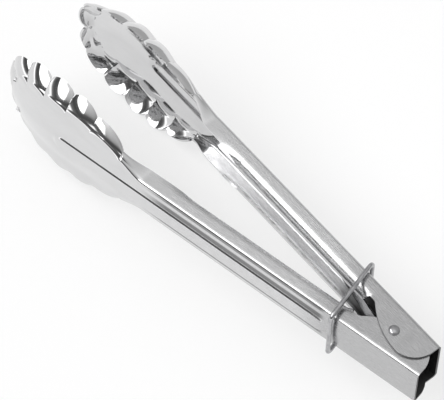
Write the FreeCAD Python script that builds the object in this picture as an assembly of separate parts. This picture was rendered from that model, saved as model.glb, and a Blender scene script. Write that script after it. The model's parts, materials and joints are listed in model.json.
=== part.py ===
import FreeCAD, Part
import math
import os

from FreeCAD import Placement, Rotation, Vector

# Spring loaded kitchen tongs, millimetres.
#
# Each arm is one pressed stainless channel: a flat back (the web) with two
# flanges that point at the other arm, ears that fold over the rivet at the
# handle end, and a scoop with fluted petals at the tip.  An arm is drawn in
# its own frame: x from the pivot towards the tip, y outwards from the middle
# of the tongs, z along the rivet.  place_arm() then turns it into the tongs,
# whose tips point along -X, with the rivet standing along Z.

# Sheet and arm
SHEET = 1.0                     # sheet thickness
BEND = 2.0                      # outside radius of the channel's bends
REAR_HEIGHT = 25.4              # rear arm across its flanges, the outer one
NEST_GAP = 0.10                 # play between the nested ears, each side
BACK = 10.5                     # pivot axis to the outside of the web
FLANGE = 7.5                    # depth of the plain channel
OPENING = 12.15                 # angle between the arms at rest, degrees
FRONT_END = 20.0                # front arm's reach behind the pivot
REAR_END = 17.5                 # rear arm's reach behind the pivot
CHANNEL_END = 127.0             # where the channel turns into the scoop

# The web is flat at the handle end and arched across beyond it
CROWN_R = 82.0
CROWN_START = 8.0

# Flanges rolled into lips between the ears and the scoop
LIP_START = 19.0
LIP_FULL = 28.0
LIP_FADE = 26.0                 # length over which the lips narrow before the scoop
LIP_R = 4.2                     # outside radius of the roll
LIP_DEPTH = 9.0                 # web to the foremost point of the lips
LIP_WIDE = 5.7                  # width of the full lips, across the arm
LIP_NARROW = 1.2                # their width where they start and end

# Ears
EAR_DROP = 5.6                  # how far the ears reach past the pivot
EAR_TOE = 15.5                  # where the ear's curve meets the flange's free edge
EAR_LOW = 8.0                   # the ear's lowest point, behind the pivot
EAR_BELLY = (3.6, 3.6)          # a point on the curve: place along the arm, drop
HEEL_BELLY = (0.87, 0.22)       # a point on the heel's curve, in shares of its reach and drop

# Bead pressed outwards along the web
BEAD_START = 25.0
BEAD_INTO_SCOOP = 50.0          # how far it runs past the channel
BEAD_HALF = 6.0
BEAD_RISE = 1.1
BEAD_WALL = 0.33                # how much narrower the groove is than the bead, each side

# Scoop
SCOOP_FLAT = 45.0               # length of its floor before it curls in
SCOOP_RADIUS = 84.0
SCOOP_WIDE = 22.0               # half width of the blank the floor is cut from
PETAL_BULGE = 1.8
PETAL_CROWN = 1.0
# The folds between the petals, lengths from the channel's end: the floor's edge
# (along, half width) and the rim (along, depth from the web, half width)
FOLDS = [
    ((13.0, 14.2), (13.6, 6.1, 18.6)),
    ((29.0, 16.0), (29.3, 7.5, 27.4)),
    ((43.0, 17.0), (43.2, 8.9, 30.3)),
    ((55.0, 15.6), (57.0, 10.3, 29.2)),
    ((65.5, 12.8), (70.5, 11.6, 25.6)),
    ((73.0, 8.0), (82.2, 12.7, 16.4)),
]

# Rivet
RIVET_R = 1.7
RUNNING = 0.05                  # radial clearance of the rivet in its holes
HEAD_LIP = 0.7                  # head beyond the shank
HEAD_RISE = 1.4
DOME = (0.72, 0.68)             # a point on the dome, in shares of head radius and rise

# Spring: a flat strip bent round the rivet
STRIP = 0.6
STRIP_WIDTH = 9.0
LOOP_GAP = 0.6                  # rivet to the inside of the loop
LEG_REACH = 40.0                # pivot to the curled end of each leg
CURL_R = 1.6
LEG_CLEARANCE = 0.3
NECK_REACH = 2.4                # pivot to the loop's neck, in loop radii
NECK_HALF = 0.4                 # half the gap at the neck
SHOULDER = 0.9                  # where the loop turns to its neck, radians
LOOP_SIDE = 1.2                 # a point on the loop's round, radians

# Locking ring of round wire
WIRE = 2.0
RING_PLAY = 1.8                 # wire to the rear arm's flange, each side
RING_CORNER = 3.0
RING_FRONT = 21.5               # where it crosses the front arm
RING_REAR = 27.5                # where it crosses the rear arm
RING_CLEARANCE = 0.15           # wire to the crest of each bead

FRONT_HEIGHT = REAR_HEIGHT - 2 * (SHEET + NEST_GAP)
HEAD_R = RIVET_R + HEAD_LIP
RING_HALF = REAR_HEIGHT / 2 + RING_PLAY + WIRE / 2
BEAD_END = CHANNEL_END + BEAD_INTO_SCOOP
CURL_START = CHANNEL_END + SCOOP_FLAT
SPREAD = math.radians(OPENING / 2)


def line(start, end):
    return Part.makeLine(start, end)


def arc(start, middle, end):
    return Part.Arc(start, middle, end).toShape()


def prism(edges, direction):
    return Part.Face(Part.Wire(edges)).extrude(direction)


def crown_drop(z):
    """How far the arched web falls away at z from its middle."""
    return CROWN_R - math.sqrt(CROWN_R ** 2 - z ** 2)


def web_line(z, height):
    """Outside of the arched web at z; its edges are in line with the flat end."""
    return BACK + crown_drop(height / 2 - BEND) - crown_drop(z)


def bead_crest(height):
    return web_line(BEAD_HALF, height) + BEAD_RISE


def floor_depth(x):
    """How far the scoop's floor has curled in from the web's line."""
    if x <= CURL_START:
        return 0.0
    return SCOOP_RADIUS - math.sqrt(SCOOP_RADIUS ** 2 - (x - CURL_START) ** 2)


def corner(centre, radius, turns):
    """Three points on an arc about centre (y, z); turns in degrees from +z towards +y."""
    angles = [math.radians(turn) for turn in turns]
    return [(centre[0] + radius * math.sin(angle), centre[1] + radius * math.cos(angle)) for angle in angles]


def channel_section(x, height, arched, flange):
    """Wire of the sheet across the arm; flange(inset, bend) gives what follows the bend."""
    edges = []
    free = []
    for inset in (0.0, SHEET):
        bend = corner((BACK - BEND, height / 2 - BEND), BEND - inset, (90, 45, 0))
        upper = [bend] + flange(inset, bend[2])
        lower = [[(y, -z) for y, z in reversed(points)] for points in reversed(upper)]
        web = [lower[-1][-1], bend[0]]
        if arched:
            web.insert(1, (web_line(0.0, height) - inset, 0.0))
        row = lower + [web] + upper
        for points in row:
            ends = [Vector(x, y, z) for y, z in points]
            edges.append(line(*ends) if len(ends) == 2 else arc(*ends))
        free.append((Vector(x, *row[0][0]), Vector(x, *row[-1][-1])))
    edges += [line(free[0][0], free[1][0]), line(free[0][1], free[1][1])]
    return Part.Wire(Part.__sortEdges__(edges))


def plain_section(x, height, arched):
    """Channel with straight flanges, deep enough for the ears."""
    def flange(inset, start):
        return [[start, (-2 * EAR_DROP, start[1])]]
    return channel_section(x, height, arched, flange)


def lipped_section(x, height):
    """Channel with flanges that roll inwards at their free edges."""
    centre = (BACK - LIP_DEPTH + LIP_R, height / 2 - LIP_R)

    def flange(inset, start):
        roll = corner(centre, LIP_R - inset, (0, -45, -90))
        return [[start, roll[0]], roll, [roll[2], (roll[2][0], height / 2 - LIP_WIDE)]]
    return channel_section(x, height, True, flange)


def lip_outline(height):
    """What is cut from between the lips so that they narrow at both ends, seen along -y."""
    narrow = height / 2 - LIP_NARROW
    wide = height / 2 - LIP_WIDE
    fade = CHANNEL_END - LIP_FADE
    low = -2 * BACK
    turn = (LIP_FULL - LIP_START) * (1 - math.sqrt(0.5))
    swell = (narrow - wide) * (1 - math.sqrt(0.5))
    start = [Vector(LIP_START, low, narrow), Vector(LIP_START + turn, low, wide + swell),
             Vector(LIP_FULL, low, wide)]
    end = [Vector(fade, low, wide), Vector(CHANNEL_END, low, narrow)]
    across = [Vector(p.x, p.y, -p.z) for p in start + end]
    edges = [arc(*start), line(start[2], end[0]), line(*end), line(end[1], across[4]),
             line(across[4], across[3]), line(across[3], across[2]), arc(*reversed(across[:3])),
             line(across[0], start[0])]
    return prism(edges, Vector(0, 2 * BACK + BACK - FLANGE + BEND, 0))


def side_outline(height, end):
    """The handle end's outline seen along the rivet, as a tall prism."""
    low = -height
    edge = BACK - FLANGE
    over = BACK + BEND
    toe = Vector(EAR_TOE, edge, low)
    bottom = Vector(-EAR_LOW, -EAR_DROP, low)
    heel = Vector(-end, BACK / 2, low)
    ear = arc(toe, Vector(EAR_BELLY[0], -EAR_BELLY[1], low), bottom)
    heel_arc = arc(bottom, Vector(-HEEL_BELLY[0] * end, -HEEL_BELLY[1] * EAR_DROP, low), heel)
    far = [Vector(-end, over, low), Vector(LIP_START, over, low), Vector(LIP_START, edge, low)]
    edges = [ear, heel_arc, line(heel, far[0]), line(far[0], far[1]), line(far[1], far[2]), line(far[2], toe)]
    return prism(edges, Vector(0, 0, 2 * height))


def handle(height, end):
    """The arm up to its scoop: flat end with the ears, then arched web and rolled lips."""
    flat = Part.Face(plain_section(-end, height, False)).extrude(Vector(end + CROWN_START, 0, 0))
    rise = Part.makeLoft([plain_section(CROWN_START, height, False), plain_section(LIP_START, height, True)],
                         True, True)
    rolled = Part.Face(lipped_section(LIP_START, height)).extrude(Vector(CHANNEL_END - LIP_START, 0, 0))
    outline = side_outline(height, end)
    return flat.common(outline).fuse([rise.common(outline), rolled.cut(lip_outline(height))])


def bead(half, rise, base):
    """Long low ridge with round ends: two S shaped flanks."""
    swing = (half ** 2 + rise ** 2) / (4 * rise)
    lean = math.atan2(rise, half)
    crest = [Vector(BEAD_START + half, base, half),
             Vector(BEAD_START + half, base + swing * (1 - math.cos(lean)), half - swing * math.sin(lean)),
             Vector(BEAD_START + half, base + rise / 2, half / 2),
             Vector(BEAD_START + half, base + rise - swing * (1 - math.cos(lean)), swing * math.sin(lean)),
             Vector(BEAD_START + half, base + rise, 0)]
    flank = [arc(crest[0], crest[1], crest[2]), arc(crest[2], crest[3], crest[4])]
    foot = Vector(BEAD_START + half, base - SHEET / 2, half)
    middle = Vector(BEAD_START + half, base - SHEET / 2, 0)
    under = [line(crest[4], middle), line(middle, foot)]
    section = Part.Face(Part.Wire([line(foot, crest[0])] + flank + under))
    length = BEAD_END - BEAD_START - 2 * half
    upper = section.extrude(Vector(length, 0, 0))
    lower = upper.mirror(Vector(0, 0, 0), Vector(0, 0, 1))
    near = section.revolve(middle, Vector(0, 1, 0), 360)
    far = near.translated(Vector(length, 0, 0))
    return upper.fuse([lower, near, far]).removeSplitter()


def scoop_floor(height):
    """The scoop's floor: the arched web, carried on and curled in, cut to the floor's outline."""
    middle = web_line(0.0, height)
    side = web_line(SCOOP_WIDE, height)
    outer = [Vector(CURL_START, side, -SCOOP_WIDE), Vector(CURL_START, middle, 0),
             Vector(CURL_START, side, SCOOP_WIDE)]
    inner = [point - Vector(0, SHEET, 0) for point in outer]
    web = Part.Face(Part.Wire([arc(*outer), line(outer[2], inner[2]), arc(*reversed(inner)),
                               line(inner[0], outer[0])]))
    turn = math.degrees(math.asin((FOLDS[-1][0][0] - SCOOP_FLAT) / (SCOOP_RADIUS - BACK)))
    straight = web.extrude(Vector(-SCOOP_FLAT, 0, 0))
    curled = web.revolve(Vector(CURL_START, BACK - SCOOP_RADIUS, 0), Vector(0, 0, -1), turn)
    corners = [(CHANNEL_END, height / 2)] + [(CHANNEL_END + foot[0], foot[1]) for foot, rim in FOLDS]
    outline = corners + [(x, -z) for x, z in reversed(corners)]
    loop = [Vector(x, -height, z) for x, z in outline + corners[:1]]
    plan = Part.Face(Part.makePolygon(loop)).extrude(Vector(0, 2 * height, 0))
    return straight.fuse(curled).common(plan)


def mirrored(row):
    return tuple(Vector(p.x, p.y, -p.z) for p in row)


def fold(foot, rim, along):
    """Foot and rim of the flange at one fold, outside and inside, and the way in."""
    inward = along.cross(rim - foot).normalize()
    return (foot, foot + inward * SHEET, rim, rim + inward * SHEET, inward)


def folds(height):
    """The flange at the channel's end and at each fold between the petals."""
    start = Vector(CHANNEL_END, web_line(height / 2, height), height / 2)
    feet = [start]
    rims = [Vector(CHANNEL_END, BACK - FLANGE, height / 2 - LIP_NARROW + SHEET / 2)]
    for (along, half), (rim_along, depth, rim_half) in FOLDS:
        x = CHANNEL_END + along
        feet.append(Vector(x, web_line(half, height) - floor_depth(x), half))
        rims.append(Vector(CHANNEL_END + rim_along, BACK - depth, rim_half))
    after = feet[1:] + [mirrored(feet[-1:])[0]]
    before = feet[:1] + feet[:-1]
    ways = [Vector(1, 0, 0)] + [(b - a).normalize() for a, b in zip(before[1:], after[1:])]
    return [fold(*row) for row in zip(feet, rims, ways)]


def petal(first, second, bulge, crown):
    """One flute of the flange, straight at its foot and arched at its rim."""
    across = (first[4] + second[4]).normalize()
    lift = (first[2] + second[2] - first[0] - second[0]).normalize() * crown - across * bulge
    outer = (first[2] + second[2]) * 0.5 + lift
    if bulge:
        rims = [arc(first[2], outer, second[2]), arc(first[3], outer + across * SHEET, second[3])]
    else:
        rims = [line(first[2], second[2]), line(first[3], second[3])]
    feet = [line(first[0], second[0]), line(first[1], second[1])]
    sides = [Part.Face(Part.makePolygon([row[0], row[1], row[3], row[2], row[0]])) for row in (first, second)]
    faces = [Part.makeRuledSurface(feet[0], rims[0]), Part.makeRuledSurface(feet[1], rims[1]),
             Part.makeRuledSurface(feet[0], feet[1]), Part.makeRuledSurface(rims[0], rims[1])] + sides
    shell = Part.makeShell(faces)
    shell.sewShape()
    return Part.makeSolid(shell)


def scoop_petals(height):
    rows = folds(height)
    petals = [petal(rows[0], rows[1], 0.0, 0.0)]
    for first, second in zip(rows[1:], rows[2:]):
        petals.append(petal(first, second, PETAL_BULGE, PETAL_CROWN))
    lower = [shape.mirror(Vector(0, 0, 0), Vector(0, 0, 1)) for shape in petals]
    tip = petal(rows[-1], mirrored(rows[-1]), PETAL_BULGE, PETAL_CROWN)
    return petals + lower + [tip]


def arm(height, end):
    base = web_line(BEAD_HALF, height)
    body = handle(height, end)
    for piece in [scoop_floor(height)] + scoop_petals(height) + [bead(BEAD_HALF, BEAD_RISE, base)]:
        body = body.fuse(piece)
    body = body.cut(bead(BEAD_HALF - BEAD_WALL, BEAD_RISE, base - SHEET))
    hole = Part.makeCylinder(RIVET_R + RUNNING, 2 * height, Vector(0, 0, -height))
    return body.cut(hole)


def place_arm(shape, side):
    """Turn an arm into the tongs: side is -1 for the front arm, 1 for the rear."""
    if side > 0:
        shape.rotate(Vector(0, 0, 0), Vector(1, 0, 0), 180)
    shape.rotate(Vector(0, 0, 0), Vector(0, 0, 1), 180 - side * OPENING / 2)
    return shape


def rivet():
    """Pin with a low dome at each end, seated on the outer ears."""
    half = REAR_HEIGHT / 2
    dome = [Vector(0, 0, half + HEAD_RISE), Vector(DOME[0] * HEAD_R, 0, half + DOME[1] * HEAD_RISE),
            Vector(HEAD_R, 0, half)]
    seat = Vector(RIVET_R, 0, half)
    waist = Vector(RIVET_R, 0, 0)
    centre = Vector(0, 0, 0)
    edges = [arc(*dome), line(dome[2], seat), line(seat, waist), line(waist, centre), line(centre, dome[0])]
    upper = Part.Face(Part.Wire(edges)).revolve(Vector(0, 0, 0), Vector(0, 0, 1), 360)
    lower = upper.mirror(Vector(0, 0, 0), Vector(0, 0, 1))
    return upper.fuse(lower).removeSplitter()


def spring():
    """Flat strip: a loop round the rivet, a pinched neck and two legs that press on the webs."""
    loop = RIVET_R + LOOP_GAP
    pinch = Vector(-NECK_REACH * loop, NECK_HALF, 0)
    inside = web_line(STRIP_WIDTH / 2, FRONT_HEIGHT) - SHEET - LEG_CLEARANCE
    web = inside / math.cos(SPREAD) + LEG_REACH * math.tan(SPREAD)
    end = Vector(-LEG_REACH, web - 2 * CURL_R, 0)
    back = Vector(loop, 0, 0)
    shoulder = Vector(-loop * math.cos(SHOULDER), loop * math.sin(SHOULDER), 0)
    crown = Vector(loop * math.cos(LOOP_SIDE), loop * math.sin(LOOP_SIDE), 0)
    leg = (end - pinch).normalize()
    side = Vector(-leg.y, leg.x, 0) * (-1 if leg.x < 0 else 1)
    curl = [end, end + (leg + side) * CURL_R, end + side * 2 * CURL_R]
    path = Part.Wire([arc(back, crown, shoulder), line(shoulder, pinch), line(pinch, end), arc(*curl)])
    face = path.makeOffset2D(STRIP, 0, True, True, False)
    face.translate(Vector(0, 0, -STRIP_WIDTH / 2))
    upper = face.extrude(Vector(0, 0, STRIP_WIDTH))
    lower = upper.mirror(Vector(0, 0, 0), Vector(0, 1, 0))
    return upper.fuse(lower).removeSplitter()


def ring():
    """Rectangular loop of round wire round both arms."""
    ends = []
    for side, height, reach in ((-1, FRONT_HEIGHT, RING_FRONT), (1, REAR_HEIGHT, RING_REAR)):
        standoff = (bead_crest(height) + RING_CLEARANCE + WIRE / 2) / math.cos(SPREAD)
        ends.append(Vector(-reach, side * (standoff + reach * math.tan(SPREAD)), 0))
    front, rear = ends
    rise = Vector(0, 0, RING_HALF)
    corners = [front - rise, front + rise, rear + rise, rear - rise]
    bends = []
    starts = []
    finishes = []
    for index, point in enumerate(corners):
        before = (corners[index - 1] - point).normalize()
        after = (corners[(index + 1) % 4] - point).normalize()
        starts.append(point + before * RING_CORNER)
        finishes.append(point + after * RING_CORNER)
        middle = point + (before + after) * RING_CORNER * (1 - math.sqrt(0.5))
        bends.append(arc(starts[-1], middle, finishes[-1]))
    runs = [line(finishes[index], starts[(index + 1) % 4]) for index in range(4)]
    ordered = [edge for pair in zip(bends, runs) for edge in pair]
    pieces = []
    for edge in ordered:
        tangent = edge.tangentAt(edge.FirstParameter)
        section = Part.Wire(Part.makeCircle(WIRE / 2, edge.valueAt(edge.FirstParameter), tangent))
        pieces.append(Part.Wire([edge]).makePipeShell([section], True, False))
    return pieces[0].fuse(pieces[1:]).removeSplitter()


def build():
    return {
        "front_arm": place_arm(arm(FRONT_HEIGHT, FRONT_END), -1),
        "rear_arm": place_arm(arm(REAR_HEIGHT, REAR_END), 1),
        "pivot_rivet": rivet(),
        "opening_spring": spring(),
        "locking_ring": ring(),
    }


def main():
    os.makedirs("parts", exist_ok=True)
    shapes = build()
    box = Part.makeCompound(list(shapes.values())).BoundBox
    origin = Vector(-box.Center.x, -box.Center.y, -box.ZMin)
    for name, shape in shapes.items():
        shape.translate(origin)
        shape.exportStep("parts/" + name + ".step")
        print(name, shape.isValid(), len(shape.Solids), round(shape.Volume, 1), shape.BoundBox)


main()
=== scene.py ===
import json
import math

import bpy
from mathutils import Matrix, Vector


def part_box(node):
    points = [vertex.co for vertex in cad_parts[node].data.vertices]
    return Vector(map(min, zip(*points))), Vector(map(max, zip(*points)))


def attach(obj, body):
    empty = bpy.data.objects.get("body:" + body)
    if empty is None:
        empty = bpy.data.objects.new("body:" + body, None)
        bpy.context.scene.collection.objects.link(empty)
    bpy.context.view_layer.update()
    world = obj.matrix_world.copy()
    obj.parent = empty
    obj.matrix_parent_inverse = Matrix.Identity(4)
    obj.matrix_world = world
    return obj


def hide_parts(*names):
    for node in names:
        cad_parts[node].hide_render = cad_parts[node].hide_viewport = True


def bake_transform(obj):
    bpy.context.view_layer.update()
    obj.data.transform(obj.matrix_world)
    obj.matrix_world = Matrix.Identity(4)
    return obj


# Spring loaded kitchen tongs.  Every piece is a finer mesh of its CAD node and
# replaces it, in the same place and size.  Shapes are drawn in millimetres.

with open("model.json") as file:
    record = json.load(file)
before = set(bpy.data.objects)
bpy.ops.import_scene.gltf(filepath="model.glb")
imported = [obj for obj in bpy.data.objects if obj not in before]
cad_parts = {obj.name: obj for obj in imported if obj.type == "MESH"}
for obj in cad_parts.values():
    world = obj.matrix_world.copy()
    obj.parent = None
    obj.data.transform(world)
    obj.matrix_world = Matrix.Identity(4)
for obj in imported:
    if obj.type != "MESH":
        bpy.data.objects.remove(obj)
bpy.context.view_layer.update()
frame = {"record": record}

MM = 0.001

# The arms: x from the pivot to the tip, y outwards to the web, z along the rivet
SHEET = 1.0                     # sheet thickness
BEND = 2.0                      # outside radius of the channel's bends
REAR_HEIGHT = 25.4              # rear arm across its flanges, the outer one
NEST_GAP = 0.10                 # play between the nested ears, each side
FRONT_HEIGHT = REAR_HEIGHT - 2 * (SHEET + NEST_GAP)
BACK = 10.5                     # pivot axis to the outside of the web
FLANGE = 7.5                    # depth of the plain channel
OPENING = 12.15                 # angle between the arms at rest, degrees
FRONT_END = 20.0                # front arm's reach behind the pivot
REAR_END = 17.5                 # rear arm's reach behind the pivot
CHANNEL_END = 127.0             # where the channel turns into the scoop
EDGE_ROUND = 0.18               # rounding of the sheet's cut edges

# The web is flat at the handle end and arched across beyond it
CROWN_R = 82.0
CROWN_START = 8.0
CROWN_HALF = 12.7               # the scoop's floor flattens out beyond this half width
CROWN_FADE = 4.0                # length over which it does so

# Flanges rolled into lips between the ears and the scoop
LIP_START = 19.0
LIP_FULL = 28.0
LIP_FADE = 26.0                 # length over which the lips shorten before the scoop
LIP_R = 4.2                     # outside radius of the roll
LIP_DEPTH = 9.0                 # web to the foremost point of the lips
LIP_WIDE = 5.7                  # width of the full lips, across the arm
LIP_NARROW = 1.2                # their width where they start
LIP_SLACK = 0.02                # keeps the lip's flat end inside the search for its edge
FLAT_FLANGE = LIP_DEPTH - LIP_R - BEND
ROLL_IN = 8.0                   # length over which the roll sets in
ROLL_OUT = 24.0                 # length over which it opens again, up to the scoop
LEAST_ROLL = 0.001              # so that a flat flange has a curve to divide by
NECK_LIFT = 1.1                 # how far the free edge rises along the neck

# Ears
EAR_DROP = 5.6                  # how far the ears reach past the pivot
EAR_TOE = 15.5                  # where the ear's curve meets the flange's free edge
EAR_LOW = 8.0                   # the ear's lowest point, behind the pivot
EAR_BELLY = (3.6, 3.6)          # a point on the curve: place along the arm, drop
HEEL_BELLY = (0.87, 0.22)       # a point on the heel's curve, in shares of its reach and drop

# Bead pressed outwards along the web
BEAD_START = 25.0
BEAD_END = CHANNEL_END + 50.0
BEAD_HALF = 6.0
BEAD_RISE = 1.1
BEAD_TOP = 0.60                 # share of its half width that is flat on top
BEAD_FLANK = 0.27               # share that each flank takes

# Scoop
CURL_START = CHANNEL_END + 45.0
SCOOP_RADIUS = 84.0
SCOOP_BEND = 1.4                # how far the bend reaches from the scoop's folds
BEND_SHARE = 0.45               # the most of a wall that its bend takes
PETAL_BULGE = 1.5               # flutes, square to the scoop's wall
BULGE_POWER = 1.8               # the higher, the flatter a flute in its middle
PETAL_LOBE = 2.6                # how far each petal's rim reaches past its cusps
LOBE_POWER = 0.7                # the lower, the squarer a petal's rim
CUSP_BACK = 1.4                 # cusps, short of the rim's line
WALL_BOW = 0.5                  # the wall curves up like a bowl's
FOOT_WAVE = 1.5                 # how far a petal's foot spreads between its folds
FOOT_PRESS = 0.8                # and how much less it is pressed in there
TIP_TURN = 32.0                 # half the angle that the tip's foot turns through
TIP_PETALS = 2                  # petals across the tip
TIP_SETTLE = 0.7                # share of the tip's wall that keeps its own shape
TIP_GRAIN = (0.4, 40.0)         # the grain's length for each row, and its width in all
# Folds between petals: floor's edge (along, half width), rim (along, depth, half width)
FOLDS = [
    ((13.2, 16.4), (13.6, 6.1, 18.3)),
    ((29.0, 22.2), (29.3, 7.7, 27.0)),
    ((43.0, 24.3), (43.2, 9.1, 29.8)),
    ((56.2, 23.2), (57.0, 10.3, 28.8)),
    ((68.2, 19.8), (70.5, 11.6, 25.2)),
    ((77.5, 12.5), (82.2, 12.7, 16.2)),
]
FOOT_AHEAD = Vector((10.5, 0, 0))       # how the foot and the rim leave the channel
RIM_AHEAD = Vector((10.5, 0.5, 0.3))
FOLD_STEP = 0.02                # share of a petal over which the fold line's direction is taken

# Rivet
RIVET_R = 1.7
HEAD_R = 2.4
HEAD_RISE = 1.4
HEAD_SKIRT = 0.12               # share of the rise that is upright at the rim
HEAD_POWER = 0.9                # the lower, the fuller the dome
HEAD_CHAMFER = (0.1, 0.02)      # inset and height of the head's lower edge

# Spring: a flat strip bent round the rivet
STRIP = 0.6
STRIP_WIDTH = 9.0
STRIP_ROUND = 0.12
LOOP_GAP = 0.6                  # rivet to the inside of the loop
LEG_REACH = 40.0                # pivot to the curled end of each leg
LEG_CLEARANCE = 0.3
CURL_R = 1.6
NECK_REACH = 2.4                # pivot to the loop's neck, in loop radii
NECK_HALF = 0.4                 # half the gap at the neck
SHOULDER = 0.9                  # where the loop turns to its neck, radians

# Locking ring of round wire
WIRE = 2.0
RING_PLAY = 1.8                 # wire to the rear arm's flange, each side
RING_CORNER = 3.0
RING_FRONT = 21.5               # where it crosses the front arm
RING_REAR = 27.5                # where it crosses the rear arm
RING_CLEARANCE = 0.15           # wire to the crest of each bead

# Mesh density
WALL_STEPS = 26
BEND_STEPS = 8
BEAD_STEPS = 14
PLAIN_STEPS = 9
FLOOR_STEPS = BEAD_STEPS + PLAIN_STEPS
HEEL_ROWS = 16
ROW_STEP = 1.0
PETAL_ROWS = 18
WIRE_SIDES = 20
CORNER_STEPS = 12
SIDE_STEPS = 10
ROUND_SIDES = 48
DOME_STEPS = 16
LOOP_STEPS = 30
NECK_STEPS = 4
LEG_STEPS = 24
CURL_STEPS = 16
STRIP_STEPS = 6

# Finish and painted shade of the arms' sheet: lengths along it from the pivot, and beside its middle line
POLISHED = (112.0, 134.0)       # from the brushed handle to the bright scoop
GRIP_AND_PAINTED_SHADE = (22.0, 46.0)          # from the handle end, darker as painted shade, to the web rubbed glossy by hands and lighter
WEB_EDGE = (10.0, 14.0)         # from the web, round the bend, to the flange
PAINTED_SHADE_START = (27.0, 31.0)       # painted shade: dark lines run from here, beside the bead and the bends
BEAD_PAINTED_SHADE = (4.5, 5.2, 7.0, 8.2)
BEND_PAINTED_SHADE = (9.4, 10.2, 11.2, 12.0)

# Floor, light tent and camera.  A sky lists (direction's height, brightness)
FLOOR_SIZE = 6.0
FLOOR_GREY = 0.97
FLOOR_GLOW = 0.6                # share of the floor that is plain white where it is seen
SKY_PEAK = 2.0                  # the brightness that is white in a sky's ramp
FRONT_SKY = [
    (0.0, 1.9), (0.07, 1.6), (0.16, 0.2), (0.34, 0.08),
    (0.50, 0.12), (0.62, 0.45), (0.9, 0.8), (1.0, 1.2),
]
REAR_SKY = [(0.0, 0.5), (0.35, 0.5), (0.60, 0.6), (0.84, 0.75), (0.92, 0.85), (1.0, 1.2)]
SKY_TURN = (-0.30, 0.25)        # from the front to the rear
SOFTBOX_LEVEL = 3.0             # added between its edges, each from dark to bright
SOFTBOX_LOW = (0.50, 0.57)
SOFTBOX_HIGH = (0.92, 0.86)
SOFTBOX_SIDE = (0.16, 0.04)
SOFTBOX_FRONT = (0.0, -0.12)
LENS = 213.1
EYE = Vector((0.3156, -0.4290, 0.9582))     # metres from the pivot, like the target
TARGET = Vector((-0.1, 0.0, 0.0))
CAMERA_ROLL = 1.08              # degrees

SPREAD = math.radians(OPENING / 2)
low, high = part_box("pivot_rivet")
PIVOT = (low + high) / 2
UP = Vector((0, -1, 0))


# ---------------------------------------------------------------- helpers

def smooth_step(t):
    t = min(max(t, 0.0), 1.0)
    return t * t * (3 - 2 * t)


def circle_y(a, b, c, x):
    """The lower y at x on the circle through three points."""
    (ax, ay), (bx, by), (cx, cy) = a, b, c
    d = 2 * (ax * (by - cy) + bx * (cy - ay) + cx * (ay - by))
    sa = ax * ax + ay * ay
    sb = bx * bx + by * by
    sc = cx * cx + cy * cy
    ox = (sa * (by - cy) + sb * (cy - ay) + sc * (ay - by)) / d
    oy = (sa * (cx - bx) + sb * (ax - cx) + sc * (bx - ax)) / d
    radius = math.hypot(ax - ox, ay - oy)
    return oy - math.sqrt(max(radius * radius - (x - ox) ** 2, 0.0))


def crown_drop(z):
    """The web's arch; the scoop's floor flattens out beyond its width."""
    inner = min(abs(z), CROWN_HALF)
    slope = CROWN_HALF / CROWN_R
    flat = slope * CROWN_FADE * (1 - math.exp((inner - abs(z)) / CROWN_FADE))
    return CROWN_R - math.sqrt(CROWN_R ** 2 - inner ** 2) + flat


def floor_depth(x):
    """How far the scoop's floor has curled in at x."""
    if x <= CURL_START:
        return 0.0
    return SCOOP_RADIUS - math.sqrt(SCOOP_RADIUS ** 2 - (x - CURL_START) ** 2)


def bead_height(x, z):
    near = BEAD_START + BEAD_HALF
    far = BEAD_END - BEAD_HALF
    away = math.hypot(max(near - x, x - far, 0.0), z) / BEAD_HALF
    return BEAD_RISE * (1 - smooth_step((away - BEAD_TOP) / BEAD_FLANK))


def spline(points, t, first):
    """Smooth curve through points at whole t; first is the direction it leaves in."""
    index = min(int(t), len(points) - 2)
    u = t - index
    a, b = points[index], points[index + 1]
    before = (points[index + 1] - points[index - 1]) / 2 if index else first
    last = index + 2 >= len(points)
    after = (b - a) if last else (points[index + 2] - a) / 2
    return (a * (1 + 2 * u) * (1 - u) ** 2 + before * u * (1 - u) ** 2
            + b * u * u * (3 - 2 * u) + after * u * u * (u - 1))


def swell(share):
    """0 at a petal's folds and 1 in its middle, at share along it."""
    return 1 - abs(2 * share - 1) ** BULGE_POWER


def lobe(share):
    """How far past the rim's line a petal reaches."""
    return PETAL_LOBE * max(1 - (2 * share - 1) ** 2, 0.0) ** LOBE_POWER - CUSP_BACK


# ---------------------------------------------------------------- arm surface

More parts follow.
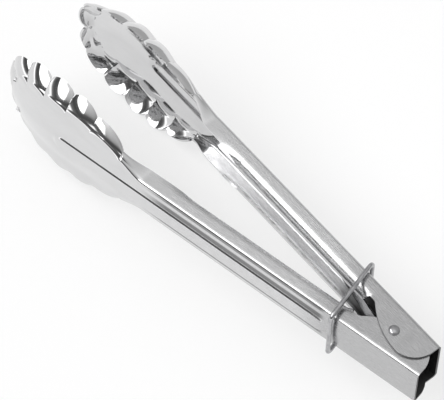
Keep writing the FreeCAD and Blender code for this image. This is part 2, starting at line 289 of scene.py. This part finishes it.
class Arm:
    """One arm's outside surface, as rows of points across the sheet."""

    def __init__(self, height, end):
        self.end = end
        self.half = height / 2
        self.points = []
        self.marks = []         # place along and across the sheet, for the grain
        self.faces = []
        self.feet = [Vector((CHANNEL_END, self.web(CHANNEL_END, self.half), self.half))]
        self.rims = [self.handle_side(CHANNEL_END)[0]]
        for (along, half), (rim_along, depth, rim_half) in FOLDS:
            x = CHANNEL_END + along
            self.feet.append(Vector((x, self.web(x, half), half)))
            self.rims.append(Vector((CHANNEL_END + rim_along, BACK - depth, rim_half)))

    def web(self, x, z):
        """Outside of the web or the scoop's floor, without the bead."""
        arch = smooth_step((x - CROWN_START) / (LIP_START - CROWN_START))
        return BACK + arch * (crown_drop(self.half - BEND) - crown_drop(z)) - floor_depth(x)

    def skin(self, x, z):
        """A point on the web or the scoop's floor, with the bead."""
        return Vector((x, self.web(x, z) + bead_height(x, z), z))

    def plain_edge(self, x):
        """Where the free edge of an ear or of the plain flange lies."""
        bottom = (-EAR_LOW, -EAR_DROP)
        if x < -EAR_LOW:
            belly = (-HEEL_BELLY[0] * self.end, -HEEL_BELLY[1] * EAR_DROP)
            return circle_y(bottom, belly, (-self.end, BACK / 2), x)
        if x < EAR_TOE:
            return circle_y((EAR_TOE, BACK - FLANGE), (EAR_BELLY[0], -EAR_BELLY[1]), bottom, x)
        return BACK - FLANGE

    def wall_length(self, x):
        """Length of the flange beyond its bend, round the lip."""
        if x <= LIP_START:
            return BACK - BEND - self.plain_edge(x)
        wide = LIP_WIDE
        if x < LIP_FULL:
            t = (x - LIP_START) / (LIP_FULL - LIP_START)
            wide = LIP_NARROW + (LIP_WIDE - LIP_NARROW) * math.sqrt(1 - (1 - t) ** 2)
        if wide <= LIP_R:
            return FLAT_FLANGE + LIP_R * math.acos(1 - wide / LIP_R)
        length = FLAT_FLANGE + LIP_R * math.pi / 2 + wide - LIP_R
        fade = (x - CHANNEL_END + LIP_FADE) / LIP_FADE
        if fade <= 0:
            return length
        edge = BACK - LIP_DEPTH - LIP_SLACK + NECK_LIFT * smooth_step(fade)
        short = FLAT_FLANGE
        for _ in range(30):
            middle = (short + length) / 2
            if self.roll(x, middle)[0] > edge:
                short = middle
            else:
                length = middle
        return length

    def roll(self, x, s):
        """A point at length s along the flange, given as (y, z)."""
        opened = smooth_step((x - CHANNEL_END + ROLL_OUT) / ROLL_OUT)
        rolled = max(smooth_step((x - EAR_TOE) / ROLL_IN) * (1 - opened), LEAST_ROLL)
        y = BACK - BEND - min(s, FLAT_FLANGE)
        z = self.half
        s -= FLAT_FLANGE
        if s <= 0:
            return y, z
        curve = rolled / LIP_R
        turn = min(curve * s, math.pi / 2 * rolled)
        y -= math.sin(turn) / curve
        z -= (1 - math.cos(turn)) / curve
        rest = s - turn / curve
        return y - rest * math.cos(turn), z - rest * math.sin(turn)

    def handle_side(self, x):
        """Points from the free edge, round the bend, to the start of the web."""
        length = self.wall_length(x)
        side = []
        for k in range(WALL_STEPS):
            y, z = self.roll(x, length * (1 - k / WALL_STEPS))
            side.append(Vector((x, y, z)))
        for k in range(BEND_STEPS + 1):
            turn = math.pi / 2 * k / BEND_STEPS
            y = BACK - BEND + BEND * math.sin(turn)
            side.append(Vector((x, y, self.half - BEND + BEND * math.cos(turn))))
        return side

    def scoop_side(self, foot, rim, along, share, reach, bow):
        """The same for a wall from foot to rim; along is the fold line's direction."""
        inward = Vector((0, 0, -1))
        if abs(along.x) < 0.999:
            inward = Vector((along.z, 0, -along.x)).normalized()
        rise = (rim - foot).normalized()
        outward = rise.cross(along).normalized()
        if outward.dot(inward) > 0:
            outward = -outward
        if share is not None:
            wave = swell(share)
            rim = rim + rise * lobe(share) + outward * PETAL_BULGE * wave
            foot = foot - inward * FOOT_WAVE * wave - UP * FOOT_PRESS * (wave - 1)
        rise = (rim - foot).normalized()
        top = (rim - foot).length
        start = foot + inward * reach
        start.y = self.web(start.x, start.z)
        reach = min(reach, top * BEND_SHARE)
        finish = foot + rise * reach
        side = []
        for k in range(WALL_STEPS):
            w = top + (reach - top) * k / WALL_STEPS
            q = (w - reach) / (top - reach)
            side.append(foot + rise * w + outward * bow * 4 * q * (1 - q))
        weight = math.sin(rise.angle(start - foot) / 2)
        for k in range(BEND_STEPS + 1):
            t = k / BEND_STEPS
            a, b, c = (1 - t) ** 2, 2 * t * (1 - t) * weight, t * t
            side.append((finish * a + foot * b + start * c) / (a + b + c))
        return side

    def handle_stations(self):
        heel = self.end - EAR_LOW
        quarter = math.pi / 2 / HEEL_ROWS
        rows = [-EAR_LOW - heel * math.sin(quarter * k) for k in range(HEEL_ROWS, -1, -1)]
        length = CHANNEL_END + EAR_LOW
        count = math.ceil(length / ROW_STEP)
        return rows + [-EAR_LOW + length * k / count for k in range(1, count + 1)]

    def scoop_stations(self):
        """Foot, rim, fold direction, share of the petal and reach of the bend, row by row."""
        for k in range(1, len(FOLDS) * PETAL_ROWS + 1):
            petal, row = divmod(k, PETAL_ROWS)
            share = 0.5 - 0.5 * math.cos(math.pi * row / PETAL_ROWS)
            t = petal + (share if petal else row / PETAL_ROWS)
            foot = spline(self.feet, t, FOOT_AHEAD)
            along = (foot - spline(self.feet, t - FOLD_STEP, FOOT_AHEAD)).normalized()
            rim = spline(self.rims, t, RIM_AHEAD)
            fade = smooth_step(t)
            if not petal:
                share = None
                rim = rim + (foot - rim).normalized() * CUSP_BACK * fade
            reach = BEND + (SCOOP_BEND - BEND) * fade
            yield foot, rim, along, share, reach, WALL_BOW * fade

    def build(self):
        rows = [self.add_row(self.handle_side(x), 0.0, x) for x in self.handle_stations()]
        for foot, rim, along, share, reach, bow in self.scoop_stations():
            side = self.scoop_side(foot, rim, along, share, reach, bow)
            sag = smooth_step((foot.x - CURL_START) / (self.feet[-1].x - CURL_START))
            rows.append(self.add_row(side, sag, foot.x))
        self.add_faces(rows)
        self.add_tip(rows[-1])
        return self.points, self.faces, self.marks

    def add_row(self, side, sag, along):
        """A row right across the sheet; sag bows it towards the tip."""
        edge = side[-1]
        turn = math.radians(TIP_TURN)
        radius = edge.z / math.sin(turn)
        lengths = [0.0]
        for a, b in zip(side[::-1], side[-2::-1]):
            lengths.append(lengths[-1] + (a - b).length)
        wall = [(p, edge.z + s) for p, s in zip(side[:-1], reversed(lengths))]
        row = [self.add(p, along, s) for p, s in wall]
        for z in self.spots(edge.z):
            x = edge.x + sag * (math.sqrt(radius ** 2 - z ** 2) - radius * math.cos(turn))
            row.append(self.add(self.skin(x, z), along, z))
        return row + [self.add(Vector((p.x, p.y, -p.z)), along, -s) for p, s in reversed(wall)]

    def spots(self, edge):
        """Places across the floor from one edge to the other, closer over the bead."""
        plain = [edge + (BEAD_HALF - edge) * k / PLAIN_STEPS for k in range(PLAIN_STEPS)]
        half = plain + [BEAD_HALF * (1 - k / BEAD_STEPS) for k in range(BEAD_STEPS)]
        return half + [0.0] + [-z for z in reversed(half)]

    def add_tip(self, last):
        """The wall across the tip, on the last row of the floor."""
        steps = WALL_STEPS + BEND_STEPS
        settle = WALL_STEPS * TIP_SETTLE
        turn = math.radians(TIP_TURN)
        radius = self.feet[-1].z / math.sin(turn)
        centre = self.feet[-1].x - radius * math.cos(turn)
        columns = [last[:steps + 1]]
        for edge in last[steps + 1:steps + 2 * FLOOR_STEPS]:
            inner = self.points[edge]
            share = 0.5 - inner.z / (2 * self.points[last[steps]].z)
            angle = turn * (1 - 2 * share)
            x = centre + radius * math.cos(angle)
            z = radius * math.sin(angle)
            foot = Vector((x, self.web(x, z), z))
            rim = Vector((self.rims[-1].x, self.rims[-1].y, self.rims[-1].z * (1 - 2 * share)))
            along = Vector((math.sin(angle), 0, -math.cos(angle)))
            side = self.scoop_side(foot, rim, along, share * TIP_PETALS % 1, SCOOP_BEND, WALL_BOW)
            shift = inner - side[-1]
            column = []
            for k, p in enumerate(side[:-1]):
                weight = smooth_step((k - settle) / (steps - settle))
                grain = x + (steps - k) * TIP_GRAIN[0]
                column.append(self.add(p + shift * weight, grain, TIP_GRAIN[1] * (0.5 - share)))
            columns.append(column + [edge])
        columns.append(list(reversed(last[-steps - 1:])))
        self.add_faces(columns)

    def add_faces(self, rows):
        for first, second in zip(rows, rows[1:]):
            for a, b, c, d in zip(first, first[1:], second[1:], second):
                self.faces.append((d, c, b, a))

    def add(self, point, along, across):
        self.points.append(point)
        self.marks.append((along, across))
        return len(self.points) - 1


# ---------------------------------------------------------------- pieces

def mesh_object(name, points, faces, matrix, marks):
    """A smooth mesh whose UV map holds millimetres along and across the grain."""
    mesh = bpy.data.meshes.new(name)
    mesh.from_pydata([matrix @ (p * MM) for p in points], [], faces)
    grain = mesh.uv_layers.new(name="grain")
    for loop in mesh.loops:
        grain.data[loop.index].uv = marks[loop.vertex_index]
    mesh.validate()
    mesh.shade_smooth()
    piece = bpy.data.objects.new(name, mesh)
    bpy.context.scene.collection.objects.link(piece)
    return piece


def arm_matrix(side):
    """Local arm frame to the tongs: side is -1 for the front arm, 1 for the rear."""
    turn = Matrix.Rotation(math.pi - side * SPREAD, 4, "Z")
    if side > 0:
        turn = turn @ Matrix.Rotation(math.pi, 4, "X")
    return Matrix.Translation(PIVOT) @ turn


def thicken(piece, thickness, offset):
    wall = piece.modifiers.new("sheet", "SOLIDIFY")
    wall.thickness = thickness * MM
    wall.offset = offset
    return wall


def round_edges(piece, width):
    bevel = piece.modifiers.new("edges", "BEVEL")
    bevel.width = width * MM
    bevel.segments = 2
    bevel.limit_method = "ANGLE"
    bevel.angle_limit = math.radians(50)
    bevel.harden_normals = True


def finish_piece(piece, node, material):
    """Give the piece its material, hide its CAD node, and say which body that node is on."""
    piece.data.materials.append(material)
    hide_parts(node)
    bodies = frame["record"]["behaviour"]["bodies"]
    return next(body for body, nodes in bodies.items() if node in nodes)


def make_arm(name, node, height, end, side, material, inside):
    points, faces, marks = Arm(height, end).build()
    piece = mesh_object(name, points, faces, arm_matrix(side), marks)
    wall = thicken(piece, SHEET, -1)
    # the inside faces and cut edges take the second material, whose colour holds painted shade at the
    # handle end and painted light beyond
    wall.material_offset = 1
    wall.material_offset_rim = 1
    round_edges(piece, EDGE_ROUND)
    body = finish_piece(piece, node, material)
    piece.data.materials.append(inside)
    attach(piece, body)


def closed_wire(name, path, radius):
    """Round wire along a closed path, drawn from the pivot."""
    points, faces, marks = [], [], []
    count = len(path)
    run = 0.0
    normal = Vector((0, 0, 1))
    for index, point in enumerate(path):
        before = path[index - 1]
        way = (path[(index + 1) % count] - before).normalized()
        normal = (normal - way * normal.dot(way)).normalized()
        other = way.cross(normal)
        run += (point - before).length
        here, there = index * WIRE_SIDES, (index + 1) % count * WIRE_SIDES
        for k in range(WIRE_SIDES):
            turn = 2 * math.pi * k / WIRE_SIDES
            follow = (k + 1) % WIRE_SIDES
            points.append(point + (normal * math.cos(turn) + other * math.sin(turn)) * radius)
            marks.append((run, radius * turn))
            faces.append((here + k, here + follow, there + follow, there + k))
    return mesh_object(name, points, faces, Matrix.Translation(PIVOT), marks)


def make_ring(material):
    """A loop with rounded corners that clears the beads of both arms."""
    sides = []
    for side, height, reach in ((-1, FRONT_HEIGHT, RING_FRONT), (1, REAR_HEIGHT, RING_REAR)):
        crest = BACK + crown_drop(height / 2 - BEND) - crown_drop(BEAD_HALF) + BEAD_RISE
        away = (crest + RING_CLEARANCE + WIRE / 2) / math.cos(SPREAD) + reach * math.tan(SPREAD)
        sides.append(Vector((-reach, side * away, 0)))
    front, rear = sides
    rise = Vector((0, 0, REAR_HEIGHT / 2 + RING_PLAY + WIRE / 2))
    corners = [front - rise, front + rise, rear + rise, rear - rise]
    path = []
    for index, point in enumerate(corners):
        follow = corners[(index + 1) % 4]
        before = (corners[index - 1] - point).normalized()
        after = (follow - point).normalized()
        centre = point + (before + after) * RING_CORNER
        for k in range(CORNER_STEPS + 1):
            turn = math.pi / 2 * k / CORNER_STEPS
            path.append(centre - (after * math.cos(turn) + before * math.sin(turn)) * RING_CORNER)
        start, finish = path[-1], follow - after * RING_CORNER
        path += [start.lerp(finish, k / SIDE_STEPS) for k in range(1, SIDE_STEPS)]
    piece = closed_wire("locking_ring_wire", path, WIRE / 2)
    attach(piece, finish_piece(piece, "locking_ring", material))


def revolve(name, profile, matrix):
    """Profile of (radius, z) turned about z; the ends lie on the axis."""
    rings = profile[1:-1]
    flat = [(0.0, 0.0, profile[0][1])]
    for radius, z in rings:
        for k in range(ROUND_SIDES):
            turn = 2 * math.pi * k / ROUND_SIDES
            flat.append((radius * math.cos(turn), radius * math.sin(turn), z))
    flat.append((0.0, 0.0, profile[-1][1]))
    last = 1 + (len(rings) - 1) * ROUND_SIDES
    faces = []
    for k in range(ROUND_SIDES):
        follow = (k + 1) % ROUND_SIDES
        faces.append((0, 1 + k, 1 + follow))
        for here in range(1, last, ROUND_SIDES):
            there = here + ROUND_SIDES
            faces.append((here + k, there + k, there + follow, here + follow))
        faces.append((last + k, len(flat) - 1, last + follow))
    marks = [(x, y) for x, y, _ in flat]
    return mesh_object(name, [Vector(p) for p in flat], faces, matrix, marks)


def make_rivet(material):
    """A shank between two domed heads."""
    seat = REAR_HEIGHT / 2
    dome = []
    for k in range(DOME_STEPS + 1):
        turn = math.pi / 2 * k / DOME_STEPS
        height = HEAD_RISE * (HEAD_SKIRT + (1 - HEAD_SKIRT) * math.cos(turn))
        dome.append((HEAD_R * math.sin(turn) ** HEAD_POWER, seat + height))
    inset, lift = HEAD_CHAMFER
    upper = dome + [(HEAD_R, seat + lift), (HEAD_R - inset, seat), (RIVET_R, seat)]
    profile = upper + [(radius, -z) for radius, z in reversed(upper)]
    piece = revolve("pivot_rivet_pin", profile, Matrix.Translation(PIVOT))
    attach(piece, finish_piece(piece, "pivot_rivet", material))


def spring_leg():
    """Middle line of half the spring: round the rivet, through the neck, to the curled end."""
    middle = STRIP / 2
    loop = RIVET_R + LOOP_GAP
    neck = Vector((-NECK_REACH * loop, NECK_HALF, 0))
    front_crown = crown_drop(FRONT_HEIGHT / 2 - BEND) - crown_drop(STRIP_WIDTH / 2)
    inside = BACK + front_crown - SHEET - LEG_CLEARANCE
    web = inside / math.cos(SPREAD) + LEG_REACH * math.tan(SPREAD)
    end = Vector((-LEG_REACH, web - 2 * CURL_R, 0))
    leg = (end - neck).normalized()
    side = Vector((leg.y, -leg.x, 0))
    path = []
    for k in range(LOOP_STEPS + 1):
        turn = (math.pi - SHOULDER) * k / LOOP_STEPS
        path.append(Vector((math.cos(turn), math.sin(turn), 0)) * (loop + middle))
    for steps, finish in ((NECK_STEPS, neck + Vector((0, middle, 0))), (LEG_STEPS, end + side * middle)):
        start = path[-1]
        path += [start.lerp(finish, k / steps) for k in range(1, steps + 1)]
    centre = end + side * CURL_R
    radius = CURL_R - middle
    for k in range(1, CURL_STEPS + 1):
        turn = math.pi * k / CURL_STEPS
        path.append(centre - side * radius * math.cos(turn) + leg * radius * math.sin(turn))
    return path


def make_spring(material):
    """A flat strip: a loop round the rivet and two legs."""
    half = spring_leg()
    path = [Vector((p.x, -p.y, 0)) for p in reversed(half[1:])] + half
    points, faces, marks = [], [], []
    run = 0.0
    columns = STRIP_STEPS + 1
    for index, point in enumerate(path):
        run += (point - path[index - 1]).length if index else 0.0
        for k in range(columns):
            z = STRIP_WIDTH * (k / STRIP_STEPS - 0.5)
            points.append(point + Vector((0, 0, z)))
            marks.append((run, z))
    for row in range(len(path) - 1):
        for a in range(row * columns, row * columns + STRIP_STEPS):
            faces.append((a, a + 1, a + columns + 1, a + columns))
    piece = mesh_object("opening_spring_strip", points, faces, Matrix.Translation(PIVOT), marks)
    thicken(piece, STRIP, 0)
    round_edges(piece, STRIP_ROUND)
    finish_piece(piece, "opening_spring", material)
    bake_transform(piece)


# ---------------------------------------------------------------- node trees

class Tree:
    """Short ways to add nodes to a node tree."""

    def __init__(self, owner):
        owner.use_nodes = True
        self.nodes = owner.node_tree.nodes
        self.links = owner.node_tree.links

    def feed(self, socket, value):
        if isinstance(value, bpy.types.NodeSocket):
            self.links.new(value, socket)
        else:
            socket.default_value = value

    def add(self, kind, **inputs):
        node = self.nodes.new(kind)
        for name, value in inputs.items():
            self.feed(node.inputs[name.replace("_", " ")], value)
        return node

    def spread(self, value, low, high, to_low=0.0, to_high=1.0):
        """Turn low to high into another span, eased at both ends and clamped."""
        node = self.add("ShaderNodeMapRange")
        node.interpolation_type = "SMOOTHSTEP"
        for index, number in enumerate((value, low, high, to_low, to_high)):
            self.feed(node.inputs[index], number)
        return node.outputs["Result"]

    def band(self, value, low, full, still, high, top=1.0):
        """0 outside low to high, and top between full and still."""
        rise = self.spread(value, low, full, 0.0, top)
        return self.maths("MULTIPLY", rise, self.spread(value, still, high, 1.0, 0.0))

    def maths(self, operation, first, second):
        node = self.add("ShaderNodeMath")
        node.operation = operation
        self.feed(node.inputs[0], first)
        self.feed(node.inputs[1], second)
        return node.outputs[0]

    def colour(self, amount, first, second):
        """A colour from first to second, each a socket or plain red, green and blue."""
        node = self.add("ShaderNodeMix")
        node.data_type = "RGBA"
        self.feed(node.inputs["Factor"], amount)
        for socket, value in ((node.inputs[6], first), (node.inputs[7], second)):
            self.feed(socket, (*value, 1) if isinstance(value, tuple) else value)
        return node.outputs[2]

    def ramp(self, value, levels):
        """Grey against a value; levels are (place, level), and SKY_PEAK is white."""
        node = self.add("ShaderNodeValToRGB")
        self.feed(node.inputs[0], value)
        elements = node.color_ramp.elements
        elements[0].position = levels[0][0]
        elements[1].position = levels[-1][0]
        for place, _ in levels[1:-1]:
            elements.new(place)
        for element, (_, level) in zip(elements, levels):
            grey = level / SKY_PEAK
            element.color = (grey, grey, grey, 1)
        return node.outputs["Color"]


class Steel(Tree):
    """A metal whose patterns follow the grain map, in millimetres."""

    def __init__(self, name):
        self.material = bpy.data.materials.new(name)
        super().__init__(self.material)
        self.shader = self.nodes["Principled BSDF"]
        self.shader.inputs["Metallic"].default_value = 1.0
        uv_map = self.add("ShaderNodeUVMap")
        uv_map.uv_map = "grain"
        self.grain = uv_map.outputs["UV"]

    def set(self, name, value):
        self.feed(self.shader.inputs[name], value)

    def noise(self, along, across, detail, roughness=0.5, turn=0.0):
        """Noise stretched by a scale along the grain and one across it."""
        place = self.add("ShaderNodeMapping", Vector=self.grain, Rotation=(0, 0, turn))
        place.inputs["Scale"].default_value = (along, across, 1)
        vector = place.outputs["Vector"]
        node = self.add("ShaderNodeTexNoise", Vector=vector, Scale=1.0, Detail=detail, Roughness=roughness)
        return node.outputs["Fac"]

    def bump(self, height, strength, distance, below=None):
        node = self.add("ShaderNodeBump", Strength=strength, Distance=distance * MM, Height=height)
        if below is not None:
            self.feed(node.inputs["Normal"], below)
        return node.outputs["Normal"]


# ---------------------------------------------------------------- materials

def arm_steel(name, painted_shade_grey, light, roughness):
    """Pressed sheet: brushed along the handle, polished bright from the neck to the tip, with painted
    shade at the handle end and beside the bead and the bends.
    """
    n = Steel(name)
    place = n.add("ShaderNodeSeparateXYZ", Vector=n.grain)
    along = place.outputs["X"]
    beside = n.maths("ABSOLUTE", place.outputs["Y"], 0.0)
    brush = n.noise(0.22, 5.0, 3.0, 0.6)
    grit = n.noise(1.6, 3.2, 2.0, 0.6)
    smudge = n.noise(0.055, 0.13, 4.0, 0.55)
    scuff = n.noise(0.09, 2.4, 2.0, 0.5, turn=0.16)
    scratch = n.maths("MULTIPLY", n.spread(scuff, 0.66, 0.74), n.spread(smudge, 0.42, 0.62))

    # Where the sheet is polished, rubbed glossy by hands, or matt; the grip ramp also carries the painted
    # shade at the handle end
    polish = n.spread(along, *POLISHED)
    grip_and_painted_shade = n.spread(along, *GRIP_AND_PAINTED_SHADE)
    rubbed = n.maths("MULTIPLY", grip_and_painted_shade, n.spread(beside, *WEB_EDGE, 0.75, 0.0))
    brushed = n.maths("SUBTRACT", 1.0, polish)
    matt = n.maths("MULTIPLY", brushed, n.maths("SUBTRACT", 1.0, rubbed))

    # Colour: streaks of the brush, with painted shade as dark lines beside the bead and along the bends
    tone = n.maths("ADD", n.maths("MULTIPLY", brush, 0.55), n.maths("MULTIPLY", grit, 0.45))
    # painted shade: the colour darkens towards the handle end, down to the shaded grey
    depth = n.maths("ADD", n.maths("MULTIPLY", grip_and_painted_shade, light - painted_shade_grey), painted_shade_grey)
    shade = n.maths("MULTIPLY", depth, n.spread(n.spread(tone, 0.32, 0.68), 0.0, 1.0, 0.84, 1.14))
    # painted shade: dark lines beside the bead and along the web's bends, on the brushed sheet only
    painted_shade = n.maths("ADD", n.band(beside, *BEAD_PAINTED_SHADE), n.band(beside, *BEND_PAINTED_SHADE, top=0.85))
    painted_shade = n.maths("MULTIPLY", painted_shade, n.spread(along, *PAINTED_SHADE_START, 0.0, 0.68))
    shade = n.maths("MULTIPLY", shade, n.maths("SUBTRACT", 1.0, n.maths("MULTIPLY", painted_shade, brushed)))
    handle = n.colour(shade, (0.0, 0.0, 0.0), (1.0, 1.0, 1.01))
    scoop = n.colour(smudge, (0.62, 0.62, 0.625), (0.74, 0.74, 0.745))
    n.set("Base Color", n.colour(polish, handle, scoop))

    # Gloss, drawn out along the grain where the sheet is matt
    rough = n.maths("MULTIPLY", matt, n.spread(brush, 0.3, 0.7, roughness, roughness + 0.12))
    rough = n.maths("ADD", n.maths("ADD", 0.075, rough), n.spread(smudge, 0.45, 0.75, 0.0, 0.07))
    n.set("Roughness", n.maths("ADD", rough, n.maths("MULTIPLY", scratch, 0.12)))
    n.set("Anisotropic", n.maths("MULTIPLY", matt, 0.45))
    n.set("Anisotropic Rotation", 0.25)
    tangent = n.add("ShaderNodeTangent")
    tangent.direction_type = "UV_MAP"
    tangent.uv_map = "grain"
    n.set("Tangent", tangent.outputs[0])

    # Relief: shallow dents in the polished scoop, fine lines and grit on the handle
    relief = n.bump(n.noise(0.10, 0.16, 1.0), n.maths("MULTIPLY", polish, 0.12), 0.12)
    for grain in (brush, grit):
        relief = n.bump(grain, n.maths("MULTIPLY", matt, 0.30), 0.02, relief)
    n.set("Normal", n.bump(scratch, 0.2, -0.01, relief))
    return n.material


def plain_steel(name, dark, light, roughness, grain):
    """Drawn wire, rolled strip or a turned head: worn a little, with a fine grain."""
    n = Steel(name)
    lines = n.noise(*grain, 3.0, 0.6)
    wear = n.noise(0.35, 0.5, 3.0, 0.55)
    n.set("Base Color", n.colour(n.spread(wear, 0.35, 0.65), dark, light))
    rough = n.spread(lines, 0.3, 0.7, roughness, roughness + 0.10)
    n.set("Roughness", n.maths("ADD", rough, n.spread(wear, 0.5, 0.8, 0.0, 0.08)))
    n.set("Normal", n.bump(lines, 0.25, 0.015))
    return n.material


# ---------------------------------------------------------------- stage

def stage():
    """A plain white floor that keeps the tongs' shadow."""
    mesh = bpy.data.meshes.new("floor")
    corners = [(x * FLOOR_SIZE, y * FLOOR_SIZE, 0) for x, y in ((-1, -1), (1, -1), (1, 1), (-1, 1))]
    mesh.from_pydata(corners, [], [(0, 1, 2, 3)])
    floor = bpy.data.objects.new("floor", mesh)
    bpy.context.scene.collection.objects.link(floor)
    material = bpy.data.materials.new("floor")
    mesh.materials.append(material)
    n = Tree(material)
    shader = n.nodes["Principled BSDF"]
    shader.inputs["Base Color"].default_value = (FLOOR_GREY, FLOOR_GREY, FLOOR_GREY, 1)
    shader.inputs["Roughness"].default_value = 1.0
    shader.inputs["Specular IOR Level"].default_value = 0.0
    glow = n.add("ShaderNodeEmission", Strength=1.0)
    rays = n.add("ShaderNodeLightPath")
    seen = rays.outputs["Is Camera Ray"]
    for kind in ("Is Glossy Ray", "Is Transmission Ray"):
        seen = n.maths("MAXIMUM", seen, rays.outputs[kind])
    mix = n.add("ShaderNodeMixShader")
    n.feed(mix.inputs[0], n.maths("MULTIPLY", seen, FLOOR_GLOW))
    n.feed(mix.inputs[1], shader.outputs[0])
    n.feed(mix.inputs[2], glow.outputs[0])
    n.feed(n.nodes["Material Output"].inputs["Surface"], mix.outputs[0])


def world_light():
    """A light tent: white overhead and low at the front, darker on the camera's side."""
    world = bpy.data.worlds.new("tent")
    bpy.context.scene.world = world
    n = Tree(world)
    where = n.add("ShaderNodeTexCoord")
    x, y, z = n.add("ShaderNodeSeparateXYZ", Vector=where.outputs["Generated"]).outputs
    tent = n.colour(n.spread(y, *SKY_TURN), n.ramp(z, FRONT_SKY), n.ramp(z, REAR_SKY))
    softbox = SOFTBOX_LEVEL / SKY_PEAK
    for value, edge in ((z, SOFTBOX_LOW), (z, SOFTBOX_HIGH), (x, SOFTBOX_SIDE), (y, SOFTBOX_FRONT)):
        softbox = n.maths("MULTIPLY", n.spread(value, *edge), softbox)
    total = n.add("ShaderNodeVectorMath")
    total.operation = "ADD"
    n.feed(total.inputs[0], tent)
    n.feed(total.inputs[1], softbox)
    background = n.nodes["Background"]
    n.feed(background.inputs["Color"], total.outputs["Vector"])
    background.inputs["Strength"].default_value = SKY_PEAK


def camera():
    data = bpy.data.cameras.new("camera")
    data.sensor_width = 36
    data.lens = LENS
    data.clip_start = 0.05
    data.clip_end = 20
    view = (TARGET - EYE).to_track_quat("-Z", "Y").to_matrix()
    piece = bpy.data.objects.new("camera", data)
    piece.location = PIVOT + EYE
    piece.rotation_euler = (view @ Matrix.Rotation(math.radians(CAMERA_ROLL), 3, "Z")).to_euler()
    bpy.context.scene.collection.objects.link(piece)
    bpy.context.scene.camera = piece


def main():
    # outside sheet: its grey of 0.50 at the handle end is painted shade
    sheet = arm_steel("arm_steel", 0.50, 0.66, 0.09)
    # inside faces and cut edges: 0.16 at the handle end is painted shade, darkening the channel and
    # outlining the ears; 0.86 beyond is painted light
    inside = arm_steel("arm_steel_inside_painted_light_and_shade", 0.16, 0.86, 0.34)
    make_arm("front_arm_sheet", "front_arm", FRONT_HEIGHT, FRONT_END, -1, sheet, inside)
    make_arm("rear_arm_sheet", "rear_arm", REAR_HEIGHT, REAR_END, 1, sheet, inside)
    make_ring(plain_steel("wire_steel", (0.36, 0.36, 0.37), (0.48, 0.48, 0.49), 0.14, (0.4, 6.0)))
    make_rivet(plain_steel("rivet_steel", (0.34, 0.34, 0.35), (0.44, 0.44, 0.45), 0.12, (3.0, 3.0)))
    make_spring(plain_steel("spring_steel", (0.22, 0.22, 0.23), (0.34, 0.34, 0.35), 0.20, (0.3, 5.0)))
    stage()
    world_light()
    camera()
    bpy.context.scene.view_settings.view_transform = "Standard"


main()
